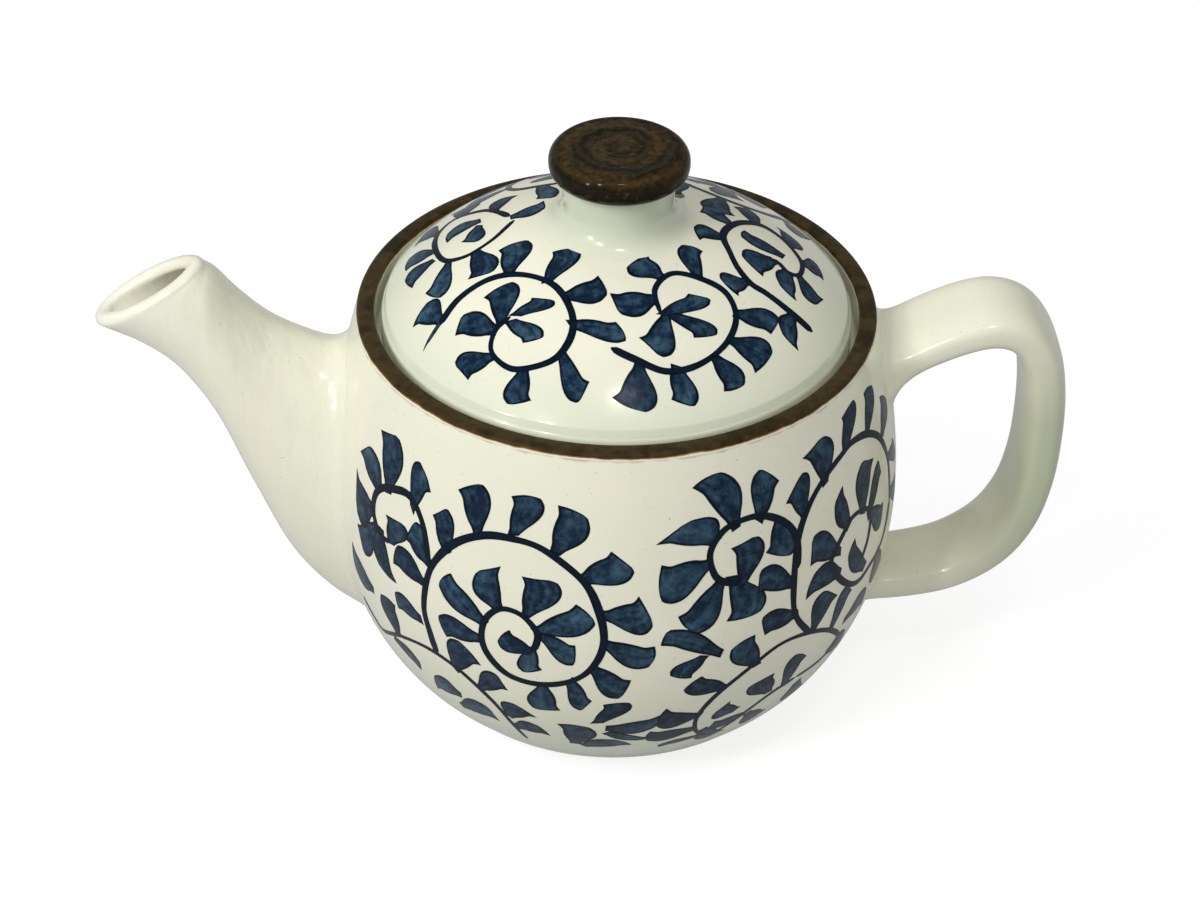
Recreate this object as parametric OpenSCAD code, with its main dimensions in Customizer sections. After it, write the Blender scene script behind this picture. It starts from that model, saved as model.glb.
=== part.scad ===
// Lidded teapot: a round porcelain body with a luted spout and strap handle,
// a steel strainer basket hung inside its mouth, and a domed lid on the basket.
// The origin is the middle of the foot. The spout points to -X, the handle to +X.

/* [Body] */
// Height of the rim above the table
rim_h = 82; // [78:0.5:86]
// Outer radius at the rim
rim_r = 47.4; // [46:0.1:49]
// Outer radius at the widest point
belly_r = 54; // [53:0.1:55.5]
// Height of the widest point
belly_h = 43.5; // [42:0.5:45]
// Thickness of the side wall
wall = 3.2; // [2.8:0.1:3.8]
// Thickness of the floor
floor_t = 4.5; // [4:0.5:6]

/* [Foot] */
// Height of the foot ring
foot_h = 3; // [2.5:0.1:3.5]
// Outer radius of the foot ring
foot_r = 33; // [31:0.5:34]
// Width of the foot ring
foot_w = 5; // [4:0.5:7]

/* [Rim and gallery] */
// Height of the glazed band on the lip
band_h = 1.2; // [1:0.1:1.6]
// Radius of the opening above the gallery
mouth_r = 44.4; // [44:0.1:44.8]
// Depth of the gallery below the rim
gallery_depth = 6.1; // [6.1:0.1:7]
// Inner radius of the gallery
gallery_r = 41; // [40.5:0.1:41.5]

/* [Spout] */
// Thickness of the spout wall
spout_wall = 2.8; // [2.4:0.1:3.2]
// Diameter of the port from the body into the spout
port_d = 18; // [12:1:22]
// Height of the port above the table
port_h = 40; // [36:1:44]

/* [Handle] */
// Width of the strap at its upper root
strap_w_top = 19; // [17:0.5:21]
// Width of the strap at its lower root
strap_w_bottom = 16.5; // [15:0.5:19]
// Thickness of the strap at its roots
strap_t = 6; // [5:0.1:7]
// How much thicker the strap is round its outer bend
strap_swell = 2; // [0:0.1:2.5]

/* [Strainer basket] */
// Outer radius of the basket's flange
flange_r = 43.2; // [42.5:0.1:43.6]
// Outer radius of the collar under the flange
collar_r = 34.6; // [34.2:0.1:35]
// Outer radius of the mesh at its bottom
mesh_r = 32.2; // [30:0.1:33]
// Depth of the basket below the rim
basket_depth = 61; // [45:1:64]
// Thickness of the sheet and mesh
sheet_t = 0.6; // [0.5:0.1:0.7]

/* [Lid] */
// Outer radius of the lid
lid_r = 43.1; // [42.6:0.1:43.4]
// Radius of curvature of the lid's upper side
dome_r = 60; // [58:0.5:64]
// Thickness of the dome
dome_t = 3.6; // [3:0.1:4.2]
// Outer radius of the locating skirt
skirt_r = 33.2; // [32.5:0.1:33.4]
// Depth of the skirt below the rim
skirt_depth = 10.5; // [9:0.5:12]
// Diameter of the steam vent
vent_d = 3; // [2.5:0.1:4]

/* [Knob] */
// Radius of the knob
knob_r = 12.6; // [11.5:0.1:13]
// Thickness of the knob
knob_t = 5.6; // [4.6:0.1:6]
// Height of the knob's underside above the rim
knob_lift = 26.5; // [26:0.1:29]
// Radius of the neck under the knob
neck_r = 10; // [9.6:0.1:10.8]

/* [Hidden] */

glaze = [0.86, 0.87, 0.80];
biscuit = [0.80, 0.74, 0.64];
iron_brown = [0.20, 0.13, 0.09];
steel = [0.72, 0.73, 0.74];

// How far a luted root is let into the surface it is joined to
lute = 0.2;
// Play between pieces that lift apart
play = 0.1;

// Shape of the body: power of the shoulder curve, and the two half axes of
// the quarter ellipse that rounds the body off below its widest point
shoulder_power = 1.76;
base_half_w = 31.5;
base_half_h = 46;

lip_z = rim_h - band_h;
gallery_z = rim_h - gallery_depth;
floor_z = foot_h + floor_t;
flange_z = gallery_z + play;
lid_seat_z = flange_z + sheet_t + 2 * play;
dome_z = rim_h - 41.5;
basket_z = rim_h - basket_depth;
collar_z = rim_h - 12;
hoop_h = 3;

// Stations along the spout, from inside the body to the mouth: x, height, half
// height, half width, and how far the section's top leans towards +X in degrees
spout_stations = [
    [-41, rim_h - 41.5, 29.5, 19.8, 0],
    [-47, rim_h - 40.3, 29, 18.5, 0],
    [-53, rim_h - 38, 27.7, 16.6, 2],
    [-60, rim_h - 31.7, 24, 14.2, 5],
    [-66.5, rim_h - 21.6, 17.5, 12, 8],
    [-72, rim_h - 11.3, 12.3, 10.2, 13],
    [-77, rim_h - 3.8, 10.2, 8.8, 24],
    [-81.4, rim_h - 0.2, 10, 7.8, 42],
    [-85.2, rim_h + 1.8, 11.8, 7.2, 60]
];
spout_rings = 26;
spout_sides = 36;

// Centre line of the handle, from its upper root to its lower one: x, height
handle_line = [
    [44, rim_h - 15.5],
    [48, rim_h - 13],
    [56, rim_h - 7.8],
    [64, rim_h - 4],
    [70, rim_h - 2.8],
    [75, rim_h - 4.6],
    [78.5, rim_h - 9.8],
    [80.2, rim_h - 17.5],
    [80.8, rim_h - 27],
    [80.4, rim_h - 37.5],
    [78.3, rim_h - 47],
    [73.8, rim_h - 54.6],
    [66.5, rim_h - 60],
    [58, rim_h - 62.5],
    [48, rim_h - 63.6],
    [43, rim_h - 63.8]
];
handle_rings = 46;
handle_sides = 24;
// Power that squares off the handle's oval section
strap_square = 0.62;

$fn = 120;

// ---- shared geometry -------------------------------------------------------

// Outer radius of the body at height z
function body_r(z) = z > belly_h
    ? belly_r - (belly_r - rim_r) * pow((z - belly_h) / (rim_h - belly_h), shoulder_power)
    : belly_r - base_half_w
        + base_half_w * sqrt(max(0, 1 - pow((belly_h - z) / base_half_h, 2)));

// Inner radius of the body at height z
function bore_r(z) = z > belly_h
    ? body_r(z) - wall
    : belly_r - base_half_w
        + (base_half_w - wall) * sqrt(1 - pow((belly_h - z) / (base_half_h - wall), 2));

// Height of a point at radius r on the lid's sphere of radius s
function dome_h(r, s) = dome_z + sqrt(s * s - r * r);

// Smooth curve through a list of stations, u from 0 to len - 1
function blend(a, b, c, d, t) =
    (2 * b + (c - a) * t + (2 * a - 5 * b + 4 * c - d) * t * t
        + (3 * b - a - 3 * c + d) * t * t * t) / 2;
function along(list, u) =
    let (n = len(list) - 1, i = min(floor(u), n - 1))
    blend(list[max(i - 1, 0)], list[i], list[i + 1], list[min(i + 2, n)], u - i);

// How far a point stands outside the surface that luted roots end on
function outside(p) = norm([p[0], p[1]]) - (body_r(p[2]) - lute);

// A point moved along its radius onto that surface
function on_body(p) =
    let (k = (body_r(p[2]) - lute) / norm([p[0], p[1]])) [p[0] * k, p[1] * k, p[2]];

// Closed skin over a grid of rings, each a closed loop of m points
function band_faces(n, m) = [
    for (i = [0 : n - 2], j = [0 : m - 1])
        let (k = (j + 1) % m)
        each [[i * m + j, i * m + k, (i + 1) * m + j],
              [i * m + k, (i + 1) * m + k, (i + 1) * m + j]]
];

// ---- pot -------------------------------------------------------------------

module vessel() {
    outer_steps = 30;
    inner_steps = 26;
    shelf_z = gallery_z - 3;
    shelf_root_z = gallery_z - 8;
    outer = [for (i = [0 : outer_steps])
        let (z = foot_h + (lip_z - foot_h) * i / outer_steps) [body_r(z), z]];
    inner = [for (i = [0 : inner_steps])
        let (z = shelf_root_z + (floor_z - shelf_root_z) * i / inner_steps) [bore_r(z), z]];
    color(glaze)
    difference() {
        rotate_extrude()
            polygon(concat(
                [[0, foot_h]],
                outer,
                [[mouth_r, lip_z],
                 [mouth_r, gallery_z],
                 [gallery_r, gallery_z],
                 [gallery_r, shelf_z]],
                inner,
                [[0, floor_z]]));
        translate([-belly_r - wall, 0, port_h])
            rotate([0, 90, 0])
            cylinder(h = 4 * wall, d = port_d);
    }
}

module foot_ring() {
    bevel = 0.6;
    color(biscuit)
    rotate_extrude()
        polygon([
            [foot_r - foot_w, foot_h],
            [foot_r, foot_h],
            [foot_r, bevel],
            [foot_r - bevel, 0],
            [foot_r - foot_w + bevel, 0],
            [foot_r - foot_w, bevel]]);
}

module rim_band() {
    edge = [0.9, 0.7];
    inner_round = 0.5;
    outer_r = rim_r + 0.1;
    color(iron_brown)
    rotate_extrude()
        polygon(concat(
            [[mouth_r, lip_z], [outer_r, lip_z]],
            [for (a = [0 : 15 : 90])
                [outer_r - edge[0] * (1 - cos(a)), rim_h - edge[1] * (1 - sin(a))]],
            [for (a = [0 : 30 : 90])
                [mouth_r + inner_round * (1 - sin(a)), rim_h - inner_round * (1 - cos(a))]]));
}

// Point on the spout at station u and angle a, set in from the outer skin
function spout_point(u, a, inset) =
    let (s = along(spout_stations, u), k = (s[2] - inset) * cos(a))
    [s[0] + k * sin(s[4]), (inset - s[3]) * sin(a), s[1] + k * cos(s[4])];

// Station at which the line of the spout at angle a leaves the body
function spout_root(a, inset, lo = 0, hi = 5, steps = 16) =
    steps == 0 ? (lo + hi) / 2
    : let (mid = (lo + hi) / 2)
        outside(spout_point(mid, a, inset)) < 0
            ? spout_root(a, inset, mid, hi, steps - 1)
            : spout_root(a, inset, lo, mid, steps - 1);

module spout() {
    last = len(spout_stations) - 1;
    lean = spout_stations[last][4];
    out = [-cos(lean), 0, sin(lean)];
    angles = [for (j = [0 : spout_sides - 1]) 360 * j / spout_sides];
    roots = [for (a = angles) spout_root(a, 0)];
    inner_roots = [for (a = angles) spout_root(a, spout_wall)];
    skin = [for (i = [0 : spout_rings], j = [0 : spout_sides - 1])
        let (u = roots[j] + (last - roots[j]) * i / spout_rings)
        spout_point(u, angles[j], 0)];
    lip = [for (f = [30 : 30 : 150], a = angles)
        spout_point(last, a, spout_wall * (1 - cos(f)) / 2) + out * spout_wall * sin(f) / 2];
    channel = [for (i = [spout_rings : -1 : 0], j = [0 : spout_sides - 1])
        let (u = inner_roots[j] + (last - inner_roots[j]) * i / spout_rings)
        spout_point(u, angles[j], spout_wall)];
    n = 2 * (spout_rings + 1) + 5;
    closing = [for (j = [0 : spout_sides - 1])
        let (k = (j + 1) % spout_sides, e = (n - 1) * spout_sides)
        each [[e + j, e + k, j], [e + k, k, j]]];
    color(glaze)
    polyhedron(concat(skin, lip, channel), concat(band_faces(n, spout_sides), closing));
}

// Point on the handle's skin: u along its line, a round its section
function handle_point(u, a) =
    let (step = 0.01,
         last = len(handle_line) - 1,
         p = along(handle_line, u),
         d = along(handle_line, min(u + step, last)) - along(handle_line, max(u - step, 0)),
         t = d / norm(d),
         w = (strap_w_top + (strap_w_bottom - strap_w_top) * u / last) / 2,
         thick = strap_t + strap_swell * sin(180 * u / last),
         across = w * sign(cos(a)) * pow(abs(cos(a)), strap_square),
         up = thick / 2 * sign(sin(a)) * pow(abs(sin(a)), strap_square))
    [p[0] + t[1] * up, across, p[1] - t[0] * up];

// Where the line of the handle at angle a crosses the body's surface,
// between a station inside the body and one outside it
function handle_root(a, inner, outer, steps = 16) =
    steps == 0 ? (inner + outer) / 2
    : let (mid = (inner + outer) / 2)
        outside(handle_point(mid, a)) < 0
            ? handle_root(a, mid, outer, steps - 1)
            : handle_root(a, inner, mid, steps - 1);

// Middle of the ring of points that starts at index first
function ring_middle(points, first, m) =
    [for (j = [0 : m - 1]) 1] * [for (j = [0 : m - 1]) points[first + j]] / m;

module handle() {
    last = len(handle_line) - 1;
    m = handle_sides;
    n = handle_rings + 1;
    angles = [for (j = [0 : m - 1]) 360 * j / m];
    upper = [for (a = angles) handle_root(a, 0, 3)];
    lower = [for (a = angles) handle_root(a, last, last - 3)];
    skin = [for (i = [0 : handle_rings], j = [0 : m - 1])
        handle_point(upper[j] + (lower[j] - upper[j]) * i / handle_rings, angles[j])];
    middles = [on_body(ring_middle(skin, 0, m)), on_body(ring_middle(skin, (n - 1) * m, m))];
    caps = [for (j = [0 : m - 1])
        let (k = (j + 1) % m, e = (n - 1) * m)
        each [[n * m, k, j], [n * m + 1, e + j, e + k]]];
    color(glaze)
    polyhedron(concat(skin, middles), concat(band_faces(n, m), caps));
}

// ---- strainer basket -------------------------------------------------------

module basket_rim() {
    color(steel)
    rotate_extrude()
        polygon([
            [collar_r - sheet_t, collar_z],
            [collar_r, collar_z],
            [collar_r, flange_z],
            [flange_r, flange_z],
            [flange_r, flange_z + sheet_t],
            [collar_r - sheet_t, flange_z + sheet_t]]);
}

module basket_wall() {
    color(steel)
    rotate_extrude()
        polygon([
            [mesh_r - sheet_t, basket_z + hoop_h],
            [mesh_r, basket_z + hoop_h],
            [collar_r, collar_z],
            [collar_r - sheet_t, collar_z]]);
}

module basket_hoop() {
    hoop_w = 2.2;
    color(steel)
    rotate_extrude()
        translate([mesh_r + 0.2 - hoop_w, basket_z])
        square([hoop_w, hoop_h]);
}

module basket_base() {
    base_r = mesh_r - 2;
    color(steel)
    translate([0, 0, basket_z + sheet_t])
        cylinder(h = sheet_t, r = base_r);
}

// ---- lid -------------------------------------------------------------------

module lid_dome() {
    steps = 20;
    edge_round = 1.2;
    seat_bevel = 0.8;
    seat_w = 3.9;
    fillet = 5;
    inner_r = dome_r - dome_t;
    shoulder_r = lid_r - edge_round;
    under_r = lid_r - seat_w - 0.6;
    fillet_r = neck_r + fillet;
    fillet_z = dome_z + sqrt(pow(dome_r + fillet, 2) - fillet_r * fillet_r);
    fillet_start = 180 + atan2(fillet_z - dome_z, fillet_r);
    foot_of_fillet = fillet_r * dome_r / (dome_r + fillet);
    vent_at = 14.2;
    vent_angle = 40;
    color(glaze)
    difference() {
        rotate_extrude()
            polygon(concat(
                [[lid_r - seat_bevel, lid_seat_z],
                 [lid_r, lid_seat_z + seat_bevel],
                 [lid_r, rim_h - edge_round],
                 [lid_r - 0.3 * edge_round, rim_h]],
                [for (i = [0 : steps])
                    let (r = shoulder_r + (foot_of_fillet - shoulder_r) * i / steps)
                    [r, dome_h(r, dome_r)]],
                [for (i = [1 : 8])
                    let (a = fillet_start + (180 - fillet_start) * i / 8)
                    [fillet_r + fillet * cos(a), fillet_z + fillet * sin(a)]],
                [[neck_r, rim_h + knob_lift], [0, rim_h + knob_lift]],
                [for (i = [0 : steps])
                    let (r = under_r * i / steps)
                    [r, dome_h(r, inner_r)]],
                [[lid_r - seat_w, lid_seat_z]]));
        rotate([0, 0, vent_angle])
            translate([vent_at, 0, rim_h])
            cylinder(h = knob_lift, d = vent_d);
    }
}

module lid_skirt() {
    skirt_w = 3;
    bevel = 0.7;
    inner_r = dome_r - dome_t;
    foot_z = rim_h - skirt_depth;
    color(glaze)
    rotate_extrude()
        polygon(concat(
            [[skirt_r - skirt_w, foot_z + bevel],
             [skirt_r - skirt_w + bevel, foot_z],
             [skirt_r - bevel, foot_z],
             [skirt_r, foot_z + bevel]],
            [for (i = [0 : 3])
                let (r = skirt_r - skirt_w * i / 3)
                [r, dome_h(r, inner_r) + lute]]));
}

module knob() {
    top_round = 2.6;
    under_round = 2.4;
    z = rim_h + knob_lift;
    color(iron_brown)
    rotate_extrude()
        polygon(concat(
            [[0, z]],
            [for (a = [0 : 15 : 90])
                [knob_r - under_round * (1 - sin(a)), z + under_round * (1 - cos(a))]],
            [for (a = [0 : 15 : 90])
                [knob_r - top_round * (1 - cos(a)), z + knob_t - top_round * (1 - sin(a))]],
            [[0, z + knob_t]]));
}

vessel();
foot_ring();
rim_band();
spout();
handle();
basket_rim();
basket_wall();
basket_hoop();
basket_base();
lid_dome();
lid_skirt();
knob();
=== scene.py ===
"""A lidded porcelain teapot, thrown, luted together and painted with blue leaf scrolls.

Shapes are worked out in millimetres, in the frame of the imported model, and are scaled to metres when a
mesh is made. The spout points to -X, the handle to +X, and the front of the pot is its -Y side.
"""

import math
import random

import bpy
import numpy as np
from mathutils import Matrix, Vector


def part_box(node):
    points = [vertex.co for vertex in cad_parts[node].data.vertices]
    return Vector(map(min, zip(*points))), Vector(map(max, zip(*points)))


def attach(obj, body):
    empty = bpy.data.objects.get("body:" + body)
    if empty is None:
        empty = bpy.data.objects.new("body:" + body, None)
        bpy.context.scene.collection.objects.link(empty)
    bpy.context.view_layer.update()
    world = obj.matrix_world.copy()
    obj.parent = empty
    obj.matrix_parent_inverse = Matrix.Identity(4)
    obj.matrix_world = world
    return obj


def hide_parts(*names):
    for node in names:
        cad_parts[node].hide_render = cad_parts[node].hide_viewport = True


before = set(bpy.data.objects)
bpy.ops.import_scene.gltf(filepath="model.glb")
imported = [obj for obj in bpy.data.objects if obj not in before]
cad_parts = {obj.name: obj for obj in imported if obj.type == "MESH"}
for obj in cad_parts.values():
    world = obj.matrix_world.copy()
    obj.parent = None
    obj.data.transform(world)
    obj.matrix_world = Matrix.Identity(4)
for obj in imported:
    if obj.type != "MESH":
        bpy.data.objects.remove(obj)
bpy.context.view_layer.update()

MM = 0.001
TAU = 2 * math.pi


def box_mm(node):
    """Lowest and highest corner of a node, in millimetres."""
    low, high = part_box(node)
    return np.array(low) / MM, np.array(high) / MM


# ---- sizes, in millimetres --------------------------------------------------

VESSEL_HIGH = box_mm("vessel")[1]
RIM_H = box_mm("rim_band")[1][2]
RIM_R = 47.4
BELLY_R = VESSEL_HIGH[1]
BELLY_H = 43.5
SHOULDER_POWER = 1.76
BASE_HALF = (31.5, 46.0)
WALL = 3.2
LIP_Z = VESSEL_HIGH[2]
FOOT_R = box_mm("foot_ring")[1][0]
FOOT_H = box_mm("foot_ring")[1][2]
FOOT_W = 5.0
FLOOR_Z = FOOT_H + 4.5
MOUTH_R = 44.4
GALLERY_R = 41.0
GALLERY_Z = RIM_H - 6.1
PORT_R = 9.0
PORT_H = 40.0

SPOUT_WALL = 2.8
LIP_WALL = 3.4
LIP_ROUND = 1.4
# The heights and half heights come from a least-squares fit of the spout to the photo's outline.
SPOUT_STATIONS = np.array([
    # x, height of the middle, half height, half width, lean of the section's top in degrees
    (-41.0, RIM_H - 41.5, 29.5, 19.8, 0),
    (-47.0, RIM_H - 40.3, 29.0, 18.5, 0),
    (-53.0, RIM_H - 38.0, 27.7, 16.6, 2),
    (-60.0, RIM_H - 31.7, 24.0, 14.2, 5),
    (-66.5, RIM_H - 21.6, 17.5, 12.0, 8),
    (-72.0, RIM_H - 11.3, 12.3, 10.2, 13),
    (-77.0, RIM_H - 3.8, 10.2, 8.8, 24),
    (-81.4, RIM_H - 0.2, 10.0, 7.8, 42),
    (-85.2, RIM_H + 1.8, 11.8, 7.2, 60),
])

STRAP_W = (19.0, 16.5)
STRAP_T = 6.0
STRAP_SWELL = 2.0
STRAP_SQUARE = 0.62
# Set between outline points that were measured on the photo.
HANDLE_LINE = np.array([
    # x and height of the strap's centre line, from its upper root to its lower one
    (44.0, RIM_H - 15.5), (48.0, RIM_H - 13.0), (56.0, RIM_H - 7.8), (64.0, RIM_H - 4.0),
    (70.0, RIM_H - 2.8), (75.0, RIM_H - 4.6), (78.5, RIM_H - 9.8), (80.2, RIM_H - 17.5),
    (80.8, RIM_H - 27.0), (80.4, RIM_H - 37.5), (78.3, RIM_H - 47.0), (73.8, RIM_H - 54.6),
    (66.5, RIM_H - 60.0), (58.0, RIM_H - 62.5), (48.0, RIM_H - 63.6), (43.0, RIM_H - 63.8),
])

FLANGE_R = box_mm("basket_rim")[1][0]
FLANGE_Z = box_mm("basket_rim")[1][2] - 0.6
COLLAR_R = 34.6
COLLAR_Z = box_mm("basket_rim")[0][2]
HOOP_R = box_mm("basket_hoop")[1][0]
HOOP_Z = (box_mm("basket_hoop")[0][2], box_mm("basket_hoop")[1][2])
BASE_R = box_mm("basket_base")[1][0]
BASE_Z = box_mm("basket_base")[0][2]
SHEET_T = 0.6
WIRE_R = 0.24
MESH_PITCH = 1.9

LID_R = box_mm("lid_dome")[1][0]
LID_SEAT_Z = box_mm("lid_dome")[0][2]
DOME_R = 60.0
DOME_T = 3.6
DOME_Z = RIM_H - 41.5
SKIRT_R = box_mm("lid_skirt")[1][0]
SKIRT_Z = box_mm("lid_skirt")[0][2]
NECK_R = 10.0
NECK_FILLET = 5.0
VENT_R = 1.5
VENT_AT = (14.2, 40.0)

KNOB_R = box_mm("knob")[1][0]
KNOB_Z = (box_mm("knob")[0][2], box_mm("knob")[1][2])


# ---- curves and surfaces ----------------------------------------------------


def body_r(z):
    """Outer radius of the body at height z."""
    z = np.asarray(z, float)
    rise = np.clip((z - BELLY_H) / (RIM_H - BELLY_H), 0, None)
    drop = np.clip((BELLY_H - z) / BASE_HALF[1], 0, 1)
    upper = BELLY_R - (BELLY_R - RIM_R) * rise**SHOULDER_POWER
    lower = BELLY_R - BASE_HALF[0] + BASE_HALF[0] * np.sqrt(1 - drop**2)
    return np.where(z > BELLY_H, upper, lower)


def bore_r(z):
    """Inner radius of the body at height z."""
    z = np.asarray(z, float)
    drop = np.clip((BELLY_H - z) / (BASE_HALF[1] - WALL), 0, 1)
    lower = BELLY_R - BASE_HALF[0] + (BASE_HALF[0] - WALL) * np.sqrt(1 - drop**2)
    return np.where(z > BELLY_H, body_r(z) - WALL, lower)


def dome_h(r, sphere=DOME_R):
    """Height of a point at radius r on the lid's sphere."""
    return DOME_Z + np.sqrt(sphere**2 - np.asarray(r, float) ** 2)


def along(stations, u):
    """Smooth curve through the rows of stations, at positions u from 0 to len - 1."""
    u = np.asarray(u, float)
    last = len(stations) - 1
    i = np.clip(np.floor(u).astype(int), 0, last - 1)
    t = (u - i)[..., None]
    a, b, c, d = (stations[np.clip(i + k, 0, last)] for k in (-1, 0, 1, 2))
    return (2 * b + (c - a) * t + (2 * a - 5 * b + 4 * c - d) * t**2 + (3 * b - a - 3 * c + d) * t**3) / 2


def unit(v):
    """v scaled to length 1, along its last axis."""
    return v / np.maximum(np.linalg.norm(v, axis=-1, keepdims=True), 1e-9)


def lengths(line):
    """Distance from the start of a line to each of its points."""
    steps = np.linalg.norm(np.diff(line, axis=0), axis=1)
    return np.concatenate([[0], np.cumsum(steps)])


def resample(line, count, start=0.0, end=None):
    """count points at even distances along a line, from start to end."""
    s = lengths(line)
    at = np.linspace(start, s[-1] if end is None else end, count)
    return np.stack([np.interp(at, s, line[:, k]) for k in range(line.shape[1])], axis=1)


def arc(centre, radius, start, end, count):
    """Points (r, z) on an arc of a profile; angles in degrees, radius a number or a pair."""
    across, up = radius if isinstance(radius, tuple) else (radius, radius)
    angles = np.radians(np.linspace(start, end, count))
    return [(centre[0] + across * math.cos(a), centre[1] + up * math.sin(a)) for a in angles]


def body_point(p, inset=0.0):
    """Points p moved along their radius onto the body, inset below its surface."""
    radius = np.hypot(p[..., 0], p[..., 1])
    k = (body_r(p[..., 2]) - inset) / radius
    return np.stack([p[..., 0] * k, p[..., 1] * k, p[..., 2]], axis=-1)


def body_normal(p):
    """Outward normal of the body at points p."""
    step = 0.05
    slope = (body_r(p[..., 2] + step) - body_r(p[..., 2] - step)) / (2 * step)
    flat = unit(p[..., :2])
    return unit(np.concatenate([flat, -slope[..., None]], axis=-1))


# ---- making pieces ----------------------------------------------------------


def facing_out(verts, faces):
    """The faces of a closed mesh, all turned over if they face inwards."""
    triangles = np.array([(f[0], f[k], f[k + 1]) for f in faces for k in range(1, len(f) - 1)])
    a, b, c = (verts[triangles[:, k]] for k in range(3))
    inwards = np.einsum("ij,ij->", a, np.cross(b, c)) < 0
    return [[int(k) for k in (f[::-1] if inwards else f)] for f in faces]


def make_piece(name, verts, faces, materials, body, stands_for=(), marks=None, sharp=40):
    """A smooth-shaded piece from vertices in millimetres, riding on a body."""
    verts = np.asarray(verts, float)
    mesh = bpy.data.meshes.new(name)
    mesh.from_pydata((verts * MM).tolist(), [], facing_out(verts, faces))
    mesh.shade_smooth()
    if sharp:
        mesh.set_sharp_from_angle(angle=math.radians(sharp))
    for material in materials:
        mesh.materials.append(material)
    if marks is not None:
        mesh.polygons.foreach_set("material_index", np.asarray(marks, np.int32))
    mesh.validate()
    piece = bpy.data.objects.new(name, mesh)
    bpy.context.scene.collection.objects.link(piece)
    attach(piece, body)
    if stands_for:
        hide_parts(*stands_for)
    return piece


def band_faces(rings, sides, closed=False):
    """Quads over a grid of rings, each a closed loop; closed also joins the last ring to the first."""
    faces = []
    for i in range(rings if closed else rings - 1):
        here, there = i * sides, (i + 1) % rings * sides
        for j in range(sides):
            k = (j + 1) % sides
            faces.append((here + j, here + k, there + k, there + j))
    return faces


def revolve(profile, sides=300):
    """Vertices and faces of a closed profile of (r, z) turned about Z. Points on the axis become poles."""
    profile = [p for i, p in enumerate(profile) if i == 0 or math.dist(p, profile[i - 1]) > 1e-4]
    pole_start, pole_end = profile[0][0] < 1e-6, profile[-1][0] < 1e-6
    open_ends = pole_start and pole_end
    rings = profile[1:-1] if open_ends else profile
    angles = np.arange(sides) * TAU / sides
    verts = [(r * math.cos(a), r * math.sin(a), z) for r, z in rings for a in angles]
    faces = band_faces(len(rings), sides, closed=not open_ends)
    if open_ends:
        first, last = len(verts), len(verts) + 1
        verts += [(0, 0, profile[0][1]), (0, 0, profile[-1][1])]
        end = (len(rings) - 1) * sides
        for j in range(sides):
            k = (j + 1) % sides
            faces.append((first, k, j))
            faces.append((last, end + j, end + k))
    return np.array(verts), faces


def bore(piece, centre, radius, depth, axis="Z"):
    """Cuts a round hole of that depth through a piece, centred on a point."""
    verts, faces = revolve([(0, -depth / 2), (radius, -depth / 2), (radius, depth / 2), (0, depth / 2)], 96)
    turn = math.radians(1.3)  # keeps the drill's corners off the lines of the piece
    verts[:, :2] = verts[:, :2] @ [[math.cos(turn), math.sin(turn)], [-math.sin(turn), math.cos(turn)]]
    if axis == "X":
        verts = verts[:, [2, 1, 0]] * [1, 1, -1]
    mesh = bpy.data.meshes.new("drill")
    mesh.from_pydata(((verts + centre) * MM).tolist(), [], faces)
    drill = bpy.data.objects.new("drill", mesh)
    bpy.context.scene.collection.objects.link(drill)
    cut = piece.modifiers.new("bore", "BOOLEAN")
    cut.operation = "DIFFERENCE"
    cut.solver = "EXACT"
    cut.object = drill
    graph = bpy.context.evaluated_depsgraph_get()
    result = bpy.data.meshes.new_from_object(piece.evaluated_get(graph))
    piece.modifiers.clear()
    old = piece.data
    piece.data = result
    bpy.data.meshes.remove(old)
    bpy.data.objects.remove(drill)
    piece.data.set_sharp_from_angle(angle=math.radians(40))


# ---- materials --------------------------------------------------------------


def new_material(name):
    """An empty node material and its Principled shader."""
    material = bpy.data.materials.new(name)
    material.use_nodes = True
    tree = material.node_tree
    return material, tree, tree.nodes["Principled BSDF"]


def add(tree, kind, inputs=None, **settings):
    """A shader node with its settings, and its inputs set to values or linked to sockets."""
    made = tree.nodes.new("ShaderNode" + kind)
    for key, value in settings.items():
        setattr(made, key, value)
    for key, value in (inputs or {}).items():
        if isinstance(value, bpy.types.NodeSocket):
            tree.links.new(value, made.inputs[key])
        else:
            made.inputs[key].default_value = value
    return made


def noise(tree, size, detail=3.0, roughness=0.5, vector=None, distortion=0.0):
    """Noise with features of about that size in millimetres."""
    if vector is None:
        vector = add(tree, "TexCoord").outputs["Object"]
    inputs = {
        "Vector": vector,
        "Scale": 1 / (size * MM),
        "Detail": detail,
        "Roughness": roughness,
        "Distortion": distortion,
    }
    return add(tree, "TexNoise", inputs).outputs["Fac"]


def spread(tree, value, low, high, to_low=0.0, to_high=1.0):
    """value taken from low..high to to_low..to_high, and held at the ends."""
    inputs = {"Value": value, "From Min": low, "From Max": high, "To Min": to_low, "To Max": to_high}
    return add(tree, "MapRange", inputs, clamp=True).outputs["Result"]


def calc(tree, operation, a, b=0.0, clamp=False):
    """One step of arithmetic on sockets or numbers."""
    return add(tree, "Math", {0: a, 1: b}, operation=operation, use_clamp=clamp).outputs["Value"]


def mix(tree, factor, a, b):
    """Colour a where factor is 0 and b where it is 1."""
    a, b = ((*c, 1.0) if isinstance(c, tuple) else c for c in (a, b))
    made = add(tree, "Mix", {0: factor, 6: a, 7: b}, data_type="RGBA")
    return made.outputs[2]


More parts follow.
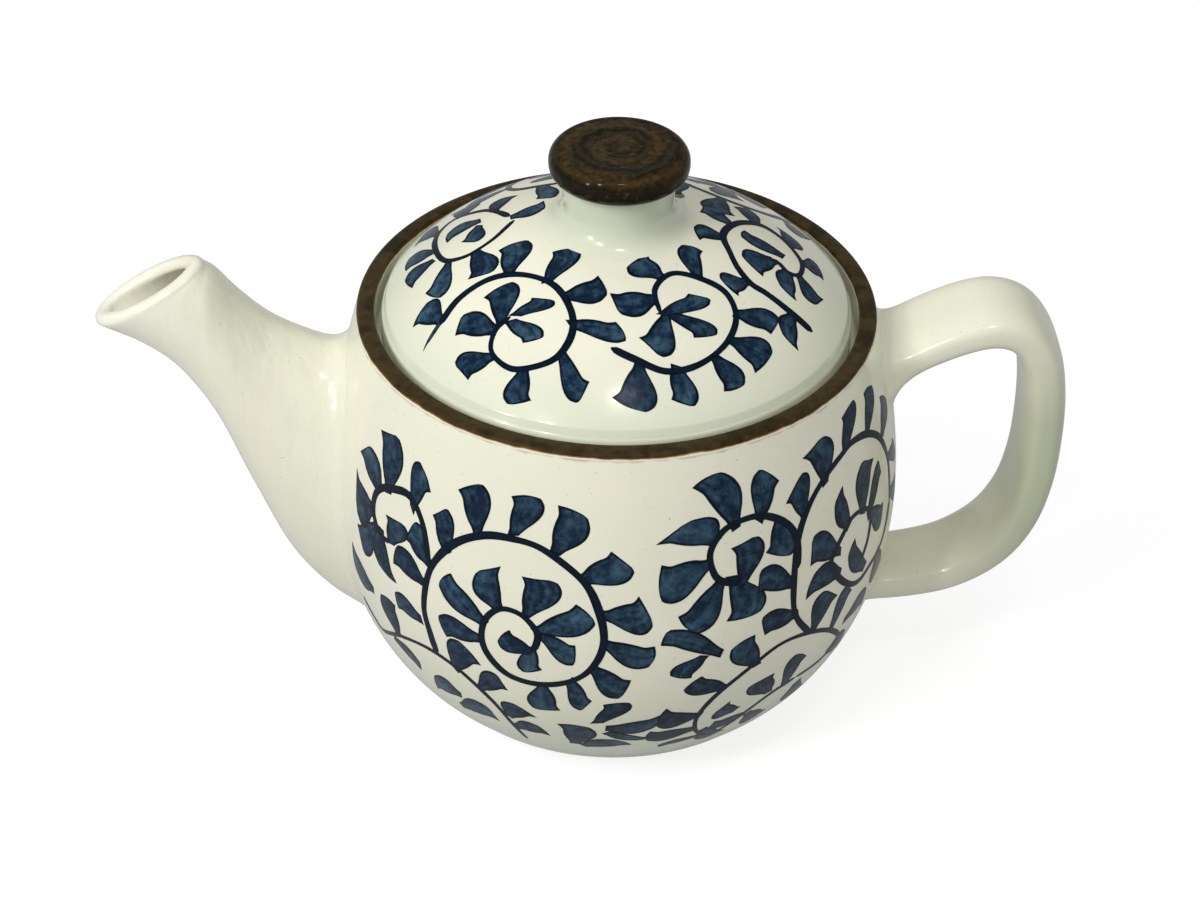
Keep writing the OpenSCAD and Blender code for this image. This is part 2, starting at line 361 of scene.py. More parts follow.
def position(tree):
    """The x, y and z of a point on the piece, and its distance from the Z axis, in metres."""
    place = add(tree, "SeparateXYZ", {0: add(tree, "TexCoord").outputs["Object"]})
    x, y, z = place.outputs
    squares = calc(tree, "ADD", calc(tree, "MULTIPLY", x, x), calc(tree, "MULTIPLY", y, y))
    return x, y, z, calc(tree, "SQRT", squares)


def bump(tree, shader, height, depth, strength=1.0):
    """Relief of that depth in millimetres on a shader."""
    made = add(tree, "Bump", {"Height": height, "Strength": strength, "Distance": depth * MM})
    tree.links.new(made.outputs["Normal"], shader.inputs["Normal"])


GLAZE = (0.80, 0.795, 0.640)
GLAZE_WARM = (0.83, 0.815, 0.655)
GLAZE_GREEN = (0.62, 0.68, 0.52)
# the darker green painted on the handle's outer bend as shade
HANDLE_SHADE_GREEN = (0.50, 0.54, 0.37)
GLAZE_THIN = (0.88, 0.86, 0.74)
SPECK = (0.36, 0.31, 0.22)
HALO = (0.30, 0.13, 0.035)
IRON_DARK = (0.0075, 0.0058, 0.0018)
IRON = (0.027, 0.021, 0.0075)
IRON_LIGHT = (0.066, 0.040, 0.014)
IRON_RUST = (0.105, 0.050, 0.018)
INK_DARK = (0.0010, 0.0050, 0.0130)
INK_LINE = (0.0025, 0.0120, 0.0280)
WASH_DEEP = (0.0040, 0.0145, 0.0350)
WASH_LIGHT = (0.0470, 0.1040, 0.1620)
BISCUIT = (0.56, 0.46, 0.34)
BISCUIT_DARK = (0.40, 0.30, 0.20)
STEEL = (0.62, 0.62, 0.61)
STEEL_PALE = (0.70, 0.70, 0.69)


def glaze_colour(tree):
    """Pale glaze with soft clouds, a fine mottle and scattered iron specks."""
    clouds = spread(tree, noise(tree, 16, 3), 0.35, 0.68)
    colour = mix(tree, clouds, GLAZE, GLAZE_WARM)
    mottle = spread(tree, noise(tree, 1.6, 4, 0.65), 0.52, 0.78, 0.0, 0.10)
    colour = mix(tree, mottle, colour, GLAZE_GREEN)
    specks = spread(tree, noise(tree, 0.55, 1), 0.735, 0.80, 0.0, 0.55)
    return mix(tree, specks, colour, SPECK)


def gloss(tree, shader, marks=None):
    """Even, glassy gloss with the faint waviness of a dipped glaze, and any tool marks under it."""
    shader.inputs["Roughness"].default_value = 0.20
    shader.inputs["IOR"].default_value = 1.52
    shader.inputs["Coat Weight"].default_value = 0.6
    shader.inputs["Coat Roughness"].default_value = 0.05
    waves = noise(tree, 5.0, 3, 0.45)
    if marks is not None:
        waves = calc(tree, "ADD", waves, marks)
    bump(tree, shader, waves, 0.12, 0.35)


def glaze_material(name, tint, pulled=False):
    """Glazed porcelain. tint adds the piece's own shades, painted shade among them on the handle and round
    the lid's neck, and pulled shows long marks of shaping by hand.
    """
    material, tree, shader = new_material(name)
    colour = tint(tree, glaze_colour(tree))
    tree.links.new(colour, shader.inputs["Base Color"])
    marks = None
    if pulled:
        coords = add(tree, "TexCoord").outputs["Object"]
        stretch = {"Vector": coords, "Rotation": (0.0, math.radians(50), 0.0), "Scale": (1.0, 1.0, 0.12)}
        stretched = add(tree, "Mapping", stretch).outputs[0]
        marks = spread(tree, noise(tree, 4.0, 2, vector=stretched), 0.35, 0.65, 0.0, 3.0)
    gloss(tree, shader, marks)
    return material


def body_tint(tree, colour):
    """Darker and greener towards the foot, and rusty just under the iron rim."""
    _, _, z, _ = position(tree)
    towards_foot = spread(tree, z, 34 * MM, 5 * MM, 0.0, 0.9)
    colour = mix(tree, towards_foot, colour, GLAZE_GREEN)
    ragged = calc(tree, "ADD", z, spread(tree, noise(tree, 3.0, 2), 0.3, 0.7, -0.25 * MM, 0.25 * MM))
    rust = spread(tree, ragged, (LIP_Z - 0.35) * MM, (LIP_Z + 0.1) * MM, 0.0, 0.5)
    return mix(tree, rust, colour, HALO)


def lid_tint(tree, colour):
    """Greener where the glaze has run to the lid's edge, and greener and darker in the fillet round its
    neck, partly glaze pooled there and partly painted shade under the knob.
    """
    _, _, _, radius = position(tree)
    edge = spread(tree, radius, 31 * MM, 43 * MM, 0.0, 0.55)
    # the neck's darkening is partly glaze pooled in the fillet and partly painted shade from the knob above
    neck = spread(tree, radius, 14.5 * MM, 10 * MM, 0.0, 0.85)
    return mix(tree, calc(tree, "ADD", edge, neck, clamp=True), colour, GLAZE_GREEN)


def spout_tint(tree, colour):
    """Warmer towards the mouth of the spout, where the glaze has thinned on the lip."""
    x, _, _, _ = position(tree)
    thin = spread(tree, x, -70 * MM, -88 * MM, 0.0, 0.7)
    return mix(tree, thin, colour, GLAZE_THIN)


def plain_tint(tree, colour):
    """Slightly greener all over, with soft clouds."""
    clouds = spread(tree, noise(tree, 12, 2), 0.4, 0.65, 0.15, 0.40)
    return mix(tree, clouds, colour, GLAZE_GREEN)


def handle_painted_shade(tree, colour):
    """Painted shade: darker and greener on the outer bend of the handle, most of all below its top, where
    the handle is shaded.
    """
    x, _, z, _ = position(tree)
    bend = spread(tree, x, 66 * MM, 80 * MM, 0.0, 1.0)
    under = spread(tree, z, 75 * MM, 60 * MM, 0.35, 1.0)
    # painted shade: the outer bend is mixed towards the darker green, more so below the top
    return mix(tree, calc(tree, "MULTIPLY", bend, under), colour, HANDLE_SHADE_GREEN)


def rim_material():
    """Iron-brown wash on the lip, thinning to a rusty line over the pale glaze below it."""
    material, tree, shader = new_material("iron_rim")
    _, _, z, _ = position(tree)
    wander = spread(tree, noise(tree, 4.0, 3), 0.3, 0.7, -0.16 * MM, 0.16 * MM)
    height = calc(tree, "ADD", z, wander)
    streak = spread(tree, noise(tree, 1.4, 5, 0.65), 0.35, 0.72)
    brown = mix(tree, streak, IRON, IRON_LIGHT)
    dark = spread(tree, noise(tree, 5.0, 2), 0.5, 0.62, 0.0, 0.55)
    brown = mix(tree, dark, brown, IRON_DARK)
    to_halo = spread(tree, height, (RIM_H - 1.00) * MM, (RIM_H - 0.80) * MM)
    to_brown = spread(tree, height, (RIM_H - 0.78) * MM, (RIM_H - 0.58) * MM)
    colour = mix(tree, to_halo, glaze_colour(tree), HALO)
    colour = mix(tree, to_brown, colour, brown)
    tree.links.new(colour, shader.inputs["Base Color"])
    shader.inputs["Roughness"].default_value = 0.34
    shader.inputs["Specular IOR Level"].default_value = 0.14
    bump(tree, shader, noise(tree, 1.6, 4, 0.6), 0.12, 0.5)
    return material


def knob_material():
    """Glossy iron-brown glaze on the knob, streaked along the spiral left by the thrower's finger, with
    painted shade darkening its side.
    """
    material, tree, shader = new_material("iron_knob")
    x, y, z, radius = position(tree)
    turn = calc(tree, "ARCTAN2", y, x)
    rings = calc(tree, "MULTIPLY", radius, TAU / (5.5 * MM))
    wobble = spread(tree, noise(tree, 5.0, 3), 0.3, 0.7, -1.2, 1.2)
    swirl = calc(tree, "SINE", calc(tree, "ADD", calc(tree, "SUBTRACT", rings, turn), wobble))
    swirl = spread(tree, swirl, -0.6, 1.0, 0.0, 0.8)
    coords = add(tree, "TexCoord").outputs["Object"]
    inputs = {"Vector": coords, "Scale": 150.0, "Distortion": 5.0, "Detail": 4.0, "Detail Scale": 2.0}
    streaks = add(tree, "TexWave", inputs, wave_type="RINGS", rings_direction="Z").outputs["Fac"]
    streaks = spread(tree, streaks, 0.2, 0.9, 0.0, 0.7)
    colour = mix(tree, streaks, IRON_DARK, IRON)
    worn = calc(tree, "MULTIPLY", swirl, spread(tree, noise(tree, 1.2, 4, 0.6), 0.3, 0.65))
    colour = mix(tree, worn, colour, IRON_LIGHT)
    # painted shade: the side below the top edge is darkened towards the darkest iron brown
    side = spread(tree, z, (KNOB_Z[1] - 0.8) * MM, (KNOB_Z[1] - 2.8) * MM, 0.0, 0.75)
    colour = mix(tree, side, colour, IRON_DARK)
    rust = spread(tree, noise(tree, 1.5, 4, 0.6), 0.58, 0.70, 0.0, 0.6)
    colour = mix(tree, rust, colour, IRON_RUST)
    tree.links.new(colour, shader.inputs["Base Color"])
    shader.inputs["Roughness"].default_value = 0.20
    shader.inputs["Specular IOR Level"].default_value = 0.05
    shader.inputs["Coat Weight"].default_value = 0.16
    shader.inputs["Coat Roughness"].default_value = 0.03
    bump(tree, shader, streaks, 0.05, 0.5)
    return material


def ink_material(name, deep, light):
    """Cobalt brushed under the glaze. The "wash" attribute says how pale each part of a stroke is."""
    material, tree, shader = new_material(name)
    wash = add(tree, "Attribute", attribute_name="wash").outputs["Fac"]
    blotch = spread(tree, noise(tree, 1.8, 4, 0.6), 0.33, 0.67, -0.34, 0.34)
    colour = mix(tree, calc(tree, "ADD", wash, blotch, clamp=True), deep, light)
    black = spread(tree, noise(tree, 1.1, 3, 0.6), 0.56, 0.68, 0.0, 0.65)
    colour = mix(tree, black, colour, INK_DARK)
    tree.links.new(colour, shader.inputs["Base Color"])
    shader.inputs["Roughness"].default_value = 0.22
    shader.inputs["Specular IOR Level"].default_value = 0.12
    return material


def biscuit_material():
    """Bare fired clay with a sandy grain."""
    material, tree, shader = new_material("biscuit")
    grain = spread(tree, noise(tree, 0.7, 5, 0.7), 0.35, 0.7)
    colour = mix(tree, grain, BISCUIT, BISCUIT_DARK)
    tree.links.new(colour, shader.inputs["Base Color"])
    shader.inputs["Roughness"].default_value = 0.85
    bump(tree, shader, noise(tree, 0.5, 4, 0.7), 0.08, 0.8)
    return material


def steel_material():
    """Pressed stainless steel, brushed round its axis."""
    material, tree, shader = new_material("steel")
    coords = add(tree, "TexCoord").outputs["Object"]
    stretched = add(tree, "Mapping", {"Vector": coords, "Scale": (0.12, 0.12, 1.0)}).outputs[0]
    lines = noise(tree, 0.35, 3, 0.6, vector=stretched)
    tree.links.new(spread(tree, lines, 0.3, 0.7, 0.24, 0.40), shader.inputs["Roughness"])
    colour = mix(tree, spread(tree, noise(tree, 9, 2), 0.35, 0.65), STEEL, STEEL_PALE)
    tree.links.new(colour, shader.inputs["Base Color"])
    shader.inputs["Metallic"].default_value = 1.0
    bump(tree, shader, lines, 0.02, 0.4)
    return material


glaze_body = glaze_material("glaze_body", body_tint)
glaze_lid = glaze_material("glaze_lid", lid_tint)
glaze_spout = glaze_material("glaze_spout", spout_tint, pulled=True)
glaze_handle = glaze_material("glaze_handle", handle_painted_shade)
glaze_plain = glaze_material("glaze_plain", plain_tint)
iron_rim = rim_material()
iron_knob = knob_material()
ink_line = ink_material("ink_line", INK_DARK, INK_LINE)
ink_wash = ink_material("ink_wash", WASH_DEEP, WASH_LIGHT)
biscuit = biscuit_material()
steel = steel_material()


# ---- the pot ----------------------------------------------------------------


def vessel():
    """The thrown body, hollow, with its gallery and the port into the spout."""
    round_r = 1.2
    foot_edge = float(body_r(FOOT_H + round_r))
    shelf = [GALLERY_Z - 3, GALLERY_Z - 8]
    profile = [(0, FOOT_H)]
    profile += arc((foot_edge - round_r, FOOT_H + round_r), round_r, -90, -20, 7)
    profile += [(float(body_r(z)), z) for z in np.linspace(FOOT_H + round_r, LIP_Z, 120)]
    profile += [(MOUTH_R, LIP_Z), (MOUTH_R, GALLERY_Z + 1)]
    profile += arc((MOUTH_R - 0.8, GALLERY_Z + 0.8), 0.8, 0, -90, 6)
    profile += arc((GALLERY_R + 0.6, GALLERY_Z - 0.6), 0.6, 90, 180, 6)
    profile += [(GALLERY_R, shelf[0])]
    profile += [(float(bore_r(z)), z) for z in np.linspace(shelf[1], FLOOR_Z + 0.8, 60)]
    profile += [(float(bore_r(FLOOR_Z)) - 1.5, FLOOR_Z), (0, FLOOR_Z)]
    verts, faces = revolve(profile)
    piece = make_piece("vessel_body", verts, faces, [glaze_body], "pot", ["vessel"])
    bore(piece, (-BELLY_R, 0, PORT_H), PORT_R, 5 * WALL, axis="X")


def foot_ring():
    """The unglazed ring the pot stands on."""
    inner = FOOT_R - FOOT_W
    edge = 0.8
    profile = [(inner, FOOT_H), (FOOT_R, FOOT_H)]
    profile += arc((FOOT_R - edge, edge), edge, 0, -90, 7)
    profile += arc((inner + edge, edge), edge, -90, -180, 7)
    verts, faces = revolve(profile)
    make_piece("foot_ring_bare", verts, faces, [biscuit], "pot", ["foot_ring"])


def rim_band():
    """The rounded lip with its brown glaze."""
    outer = float(body_r(LIP_Z))
    profile = [(MOUTH_R, LIP_Z), (outer, LIP_Z), (float(body_r(LIP_Z + 0.3)), LIP_Z + 0.3)]
    profile += arc((outer - 1.35, RIM_H - 0.8), (1.25, 0.8), 5, 90, 12)
    profile += arc((MOUTH_R + 0.6, RIM_H - 0.6), 0.6, 90, 180, 8)
    verts, faces = revolve(profile)
    make_piece("rim_glaze_band", verts, faces, [iron_rim], "pot", ["rim_band"])


def luted_root(lines, on_line, on_body, rows, sag=0.0):
    """Gives lines that start on the body a smoothed root.

    lines is sides x points x 3. Each is cut off on_line from the body, and rows points on a cubic curve
    lead from there down to the body's surface, on_body away from where the line met it. Both lengths are
    larger by the share sag on the underside.
    """
    start = lines[:, 0]
    normal = body_normal(start)
    tangent = np.roll(start, -1, axis=0) - np.roll(start, 1, axis=0)
    away = unit(np.cross(tangent, normal))
    if np.sum(away * (start - start.mean(axis=0))) < 0:
        away = -away
    grow = 1 + sag * np.clip(-away[:, 2:], 0, 1)
    low = body_point(start + away * on_body * grow, 0.12)
    low_way = unit(start - low)
    result = []
    for line, foot, way, k in zip(lines, low, low_way, grow[:, 0]):
        rest = resample(line, line.shape[0], on_line * k, lengths(line)[-1])
        back = unit(rest[0] - rest[1])
        controls = [foot, foot + way * on_body * k * 0.75, rest[0] + back * on_line * k * 0.7, rest[0]]
        t = np.linspace(0, 1, rows, endpoint=False)[:, None]
        weights = ((1 - t) ** 3, 3 * t * (1 - t) ** 2, 3 * t**2 * (1 - t), t**3)
        curve = sum(w * c for w, c in zip(weights, controls))
        result.append(np.concatenate([curve, rest]))
    return np.array(result)


def spout_points(u, angle, inset):
    """Points on the spout at stations u and one angle in radians, set in from its outer skin."""
    s = along(SPOUT_STATIONS, u)
    lean = np.radians(s[..., 4])
    k = (s[..., 2] - inset) * math.cos(angle)
    across = (inset - s[..., 3]) * math.sin(angle)
    return np.stack([s[..., 0] + k * np.sin(lean), across, s[..., 1] + k * np.cos(lean)], axis=-1)


def from_body(points, inset=0.0):
    """The part of a line of points that stands outside the body, starting on its surface."""
    stand = np.hypot(points[:, 0], points[:, 1]) - (body_r(points[:, 2]) - inset)
    i = int(np.nonzero(stand < 0)[0].max())
    t = stand[i] / (stand[i] - stand[i + 1])
    first = points[i] + (points[i + 1] - points[i]) * t
    return np.concatenate([[first], points[i + 1:]])


def spout():
    """The hand-built spout, wide and low where it leaves the belly, with an open, rounded mouth."""
    sides, rings, lip_rings = 96, 70, 13
    last = len(SPOUT_STATIONS) - 1
    angles = np.arange(sides) * TAU / sides
    u = np.linspace(0, last, 900)
    wall = SPOUT_WALL + (LIP_WALL - SPOUT_WALL) * np.clip((u - last + 2) / 2, 0, 1) ** 2
    skin = np.array([resample(from_body(spout_points(u, a, 0)), rings) for a in angles])
    skin = luted_root(skin, 5.5, 3.5, 14)
    channel = np.array([resample(from_body(spout_points(u, a, wall), 0.8), rings) for a in angles])
    lean = math.radians(SPOUT_STATIONS[-1][4])
    out = np.array([-math.cos(lean), 0, math.sin(lean)])
    grid = [skin[:, i] for i in range(skin.shape[1])]
    for f in np.linspace(0, math.pi, lip_rings + 2)[1:-1]:
        inset = LIP_WALL * (1 - math.cos(f)) / 2
        ring = np.array([spout_points(np.array(float(last)), a, inset) for a in angles])
        grid.append(ring + out * LIP_ROUND * math.sin(f))
    grid += [channel[:, i] for i in range(rings - 1, -1, -1)]
    verts = np.concatenate(grid)
    faces = band_faces(len(grid), sides, closed=True)
    make_piece("spout_luted", verts, faces, [glaze_spout], "pot", ["spout"], sharp=75)


def handle():
    """The pulled strap handle, thumbed on to the body at both ends."""
    sides, rings = 64, 160
    last = len(HANDLE_LINE) - 1
    u = np.linspace(0, last, 1200)
    centre = along(HANDLE_LINE, u)
    way = unit(np.gradient(centre, axis=0))
    half_w = (STRAP_W[0] + (STRAP_W[1] - STRAP_W[0]) * u / last) / 2
    half_t = (STRAP_T + STRAP_SWELL * np.sin(math.pi * u / last)) / 2
    lines = []
    for a in np.arange(sides) * TAU / sides:
        c, s = math.cos(a), math.sin(a)
        across = half_w * math.copysign(abs(c) ** STRAP_SQUARE, c)
        up = half_t * math.copysign(abs(s) ** STRAP_SQUARE, s)
        line = np.stack([centre[:, 0] + way[:, 1] * up, across, centre[:, 1] - way[:, 0] * up], axis=1)
        half = len(line) // 2
        upper = from_body(line[:half])
        lower = from_body(line[half:][::-1])[::-1]
        lines.append(resample(np.concatenate([upper, lower]), rings))
    lines = luted_root(np.array(lines), 6.0, 4.0, 12, sag=0.7)
    lines = luted_root(lines[:, ::-1], 5.0, 3.5, 12)[:, ::-1]
    grid = [lines[:, i] for i in range(lines.shape[1])]
    verts = np.concatenate(grid + [body_point(ring.mean(axis=0), 1.5)[None] for ring in (grid[0], grid[-1])])
    faces = band_faces(len(grid), sides)
    end, middle = (len(grid) - 1) * sides, len(grid) * sides
    for j in range(sides):
        k = (j + 1) % sides
        faces.append((middle, k, j))
        faces.append((middle + 1, end + j, end + k))
    make_piece("handle_strap", verts, faces, [glaze_handle], "pot", ["handle"], sharp=75)


# ---- the strainer basket ----------------------------------------------------


def basket_rim():
    """The pressed flange and collar, with a rolled outer edge."""
    roll = 0.42
    top = FLANGE_Z + SHEET_T
    profile = [(COLLAR_R - SHEET_T, COLLAR_Z), (COLLAR_R, COLLAR_Z), (COLLAR_R, FLANGE_Z - 0.6)]
    profile += arc((COLLAR_R + 0.6, FLANGE_Z - 0.6), 0.6, 180, 90, 7)
    profile += [(FLANGE_R - 1.2, FLANGE_Z)]
    profile += arc((FLANGE_R - roll, FLANGE_Z + roll), roll, -90, 130, 12)
    profile += [(FLANGE_R - 1.3, top), (COLLAR_R + 0.8, top)]
    profile += arc((COLLAR_R + 0.8, FLANGE_Z - 0.8), 1.4, 90, 180, 8)
    verts, faces = revolve(profile)
    make_piece("basket_flange", verts, faces, [steel], "basket", ["basket_rim"])


def basket_hoop():
    """The hoop that clamps the woven wall to the woven base."""
    middle = HOOP_R - 1.1
    height = (HOOP_Z[1] - HOOP_Z[0]) / 2
    centre = (middle, HOOP_Z[0] + height)
    profile = arc(centre, (1.1, height), 0, 345, 24)
    verts, faces = revolve(profile)
    make_piece("basket_bottom_hoop", verts, faces, [steel], "basket", ["basket_hoop"])


def wire(path, radius, closed, sides=5):
    """Vertices and faces of a round wire along a path of points."""
    if closed:
        way = unit(np.roll(path, -1, axis=0) - np.roll(path, 1, axis=0))
    else:
        way = unit(np.gradient(path, axis=0))
    up = np.zeros_like(way)
    flat = np.abs(way[:, 2]) < 0.9
    up[flat] = (0, 0, 1)
    up[~flat] = unit(np.concatenate([path[~flat][:, :2], np.zeros((np.sum(~flat), 1))], axis=1))
    side = unit(np.cross(way, up))
    up = np.cross(side, way)
    angles = np.arange(sides) * TAU / sides
    rings = path[:, None] + radius * (
        side[:, None] * np.cos(angles)[None, :, None] + up[:, None] * np.sin(angles)[None, :, None])
    verts = rings.reshape(-1, 3)
    faces = band_faces(len(path), sides, closed)
    if not closed:
        faces.append(tuple(range(sides))[::-1])
        faces.append(tuple((len(path) - 1) * sides + j for j in range(sides)))
    return verts, faces


def join(parts):
    """One list of vertices and faces from several."""
    verts, faces, count = [], [], 0
    for part_verts, part_faces in parts:
        verts.append(part_verts)
        faces += [tuple(i + count for i in face) for face in part_faces]
        count += len(part_verts)
    return np.concatenate(verts), faces


def basket_wall():
    """The woven steel wall: upright wires over and under level hoops."""
    low, high = HOOP_Z[1] - 0.4, COLLAR_Z + 0.5
    r_low, r_high = HOOP_R - 0.5, COLLAR_R - SHEET_T / 2
    rows = int((high - low) / MESH_PITCH)
    columns = 2 * int(math.pi * r_low / MESH_PITCH)
    parts = []
    for i in range(columns):
        angle = TAU * i / columns
        t = np.linspace(0, 1, 2 * rows + 1)
        weave = WIRE_R * np.cos(math.pi * (t * rows + i))
        radius = r_low + (r_high - r_low) * t + weave
        path = np.stack([radius * math.cos(angle), radius * math.sin(angle), low + (high - low) * t], axis=1)
        parts.append(wire(path, WIRE_R, closed=False, sides=4))
    for k in range(rows):
        t = (k + 0.5) / rows
        angles = np.arange(columns * 2) * TAU / (columns * 2)
        weave = -WIRE_R * np.cos(math.pi * (k + 0.5 + angles / TAU * columns))
        radius = r_low + (r_high - r_low) * t + weave
        level = np.full_like(angles, low + (high - low) * t)
        path = np.stack([radius * np.cos(angles), radius * np.sin(angles), level], axis=1)
        parts.append(wire(path, WIRE_R, closed=True, sides=4))
    verts, faces = join(parts)
    make_piece("basket_mesh_wall", verts, faces, [steel], "basket", ["basket_wall"], sharp=None)


def basket_base():
    """The woven steel floor of the basket."""
    middle = BASE_Z + SHEET_T / 2
    count = int(BASE_R / MESH_PITCH)
    parts = []
    for crossing in (0, 1):
        for i in range(-count, count + 1):
            at = i * MESH_PITCH
            half = math.sqrt(BASE_R**2 - at**2)
            run = np.linspace(-half, half, max(4, int(half * 4 / MESH_PITCH)))
            weave = WIRE_R * np.cos(math.pi * (run / MESH_PITCH + i + crossing))
            level = np.full_like(run, at)
            flat = [level, run] if crossing else [run, level]
            path = np.stack([*flat, middle + weave], axis=1)
            parts.append(wire(path, WIRE_R, closed=False))
    verts, faces = join(parts)
    make_piece("basket_mesh_base", verts, faces, [steel], "basket", ["basket_base"], sharp=None)


# ---- the lid ----------------------------------------------------------------


def lid_dome():
    """The domed lid with its neck, seat and steam vent."""
    edge = 1.2
    inner = DOME_R - DOME_T
    fillet_r = NECK_R + NECK_FILLET
    fillet_z = DOME_Z + math.sqrt((DOME_R + NECK_FILLET) ** 2 - fillet_r**2)
    fillet_start = 180 + math.degrees(math.atan2(fillet_z - DOME_Z, fillet_r))
    foot_of_fillet = fillet_r * DOME_R / (DOME_R + NECK_FILLET)
    shoulder = LID_R - 0.75
    under = LID_R - 4.5
    profile = [(0, float(dome_h(0, inner)))]
    profile += [(r, float(dome_h(r, inner))) for r in np.linspace(0, under, 60)[1:]]
    profile += [(LID_R - 3.9, LID_SEAT_Z)]
    profile += arc((LID_R - 0.8, LID_SEAT_Z + 0.8), 0.8, -90, 0, 7)
    profile += arc((LID_R - edge, RIM_H - edge), edge, 0, 52, 8)
    profile += [(r, float(dome_h(r))) for r in np.linspace(shoulder, foot_of_fillet, 90)]
    profile += arc((fillet_r, fillet_z), NECK_FILLET, fillet_start, 180, 14)[1:]
    profile += [(NECK_R, KNOB_Z[0]), (0, KNOB_Z[0])]
    verts, faces = revolve(profile)
    piece = make_piece("lid_cap", verts, faces, [glaze_lid], "lid", ["lid_dome"])
    turn = math.radians(VENT_AT[1])
    vent = (VENT_AT[0] * math.cos(turn), VENT_AT[0] * math.sin(turn), RIM_H + 16)
    bore(piece, vent, VENT_R, 12)


def lid_skirt():
    """The ring under the lid that keeps it on the basket's mouth."""
    width, edge = 3.0, 0.9
    inner = DOME_R - DOME_T
    profile = arc((SKIRT_R - width + edge, SKIRT_Z + edge), edge, 180, 270, 7)
    profile += arc((SKIRT_R - edge, SKIRT_Z + edge), edge, 270, 360, 7)
    profile += [(r, float(dome_h(r, inner)) + 0.2) for r in np.linspace(SKIRT_R, SKIRT_R - width, 6)]
    verts, faces = revolve(profile)
    make_piece("lid_skirt_ring", verts, faces, [glaze_plain], "lid", ["lid_skirt"])


def knob():
    """The button knob, its top marked by the spiral left as it was thrown."""
    low, high = KNOB_Z
    under, top = 2.4, 2.6
    profile = [(0, low)]
    profile += arc((KNOB_R - under, low + under), under, -90, 0, 10)
    profile += arc((KNOB_R - top, high - top), top, 0, 90, 12)
    profile += [(r, high) for r in np.linspace(KNOB_R - top, 0, 40)[1:]]
    verts, faces = revolve(profile, 180)
    radius = np.hypot(verts[:, 0], verts[:, 1])
    turn = np.arctan2(verts[:, 1], verts[:, 0])
    on_top = np.clip((verts[:, 2] - (high - 0.6)) / 0.6, 0, 1) * np.clip(radius / 2, 0, 1)
    spiral = np.sin(radius * TAU / 4.6 - turn)
    verts[:, 2] += on_top * (0.05 * spiral - 0.05)
    make_piece("knob_button", verts, faces, [iron_knob], "lid", ["knob"])


# ---- painted scrolls --------------------------------------------------------
# The body's scrolls are laid out as (distance round the belly from the middle of the front, distance up
# the wall from its foot), and the lid's as (right, back) on the dome unrolled from its top.

ARC_Z = np.linspace(2, RIM_H, 801)
ARC_S = lengths(np.stack([body_r(ARC_Z), ARC_Z], axis=1))


def on_wall(p, lift):
    """Body layout points in space, raised lift above the glaze, and the normals there."""
    z = np.interp(p[:, 1], ARC_S, ARC_Z)
    turn = p[:, 0] / BELLY_R
    r = body_r(z)
    points = np.stack([r * np.sin(turn), -r * np.cos(turn), z], axis=1)
    normals = body_normal(points)
    return points + normals * lift, normals


def on_dome(p, lift):
    """Lid layout points in space, raised lift above the glaze, and the normals there."""
    s = np.hypot(p[:, 0], p[:, 1])
    tilt = s / DOME_R
    flat = p / np.maximum(s, 1e-6)[:, None]
    normals = np.stack([flat[:, 0] * np.sin(tilt), flat[:, 1] * np.sin(tilt), np.cos(tilt)], axis=1)
    return normals * (DOME_R + lift) + (0, 0, DOME_Z), normals


PAINT_DEPTH = 0.05
VINE_LIFT = 0.06
LEAF_LIFT = 0.045
OUTLINE = 0.55
STEM = 0.95
# The two edges of a leaf one unit long, from its base to its tip. The first ends at the pointed corner,
# and the second goes over the round shoulder. A stem is added to the x of both where they start.
POINTED = (-0.31, 1.0)
SHOULDER = (0.36, 0.84)
POINTED_EDGE = np.array([(0, -0.05), (-0.02, 0.15), (-0.08, 0.32), (-0.13, 0.50), (-0.17, 0.67),
                         (-0.22, 0.84), POINTED])
ROUND_EDGE = np.array([(0, -0.05), (0.10, 0.11), (0.27, 0.30), (0.38, 0.48), (0.41, 0.65), (0.385, 0.81),
                       (0.31, 0.94), (0.16, 1.0)])
LEAF_FRAME = np.linalg.inv(np.column_stack([SHOULDER, POINTED]))


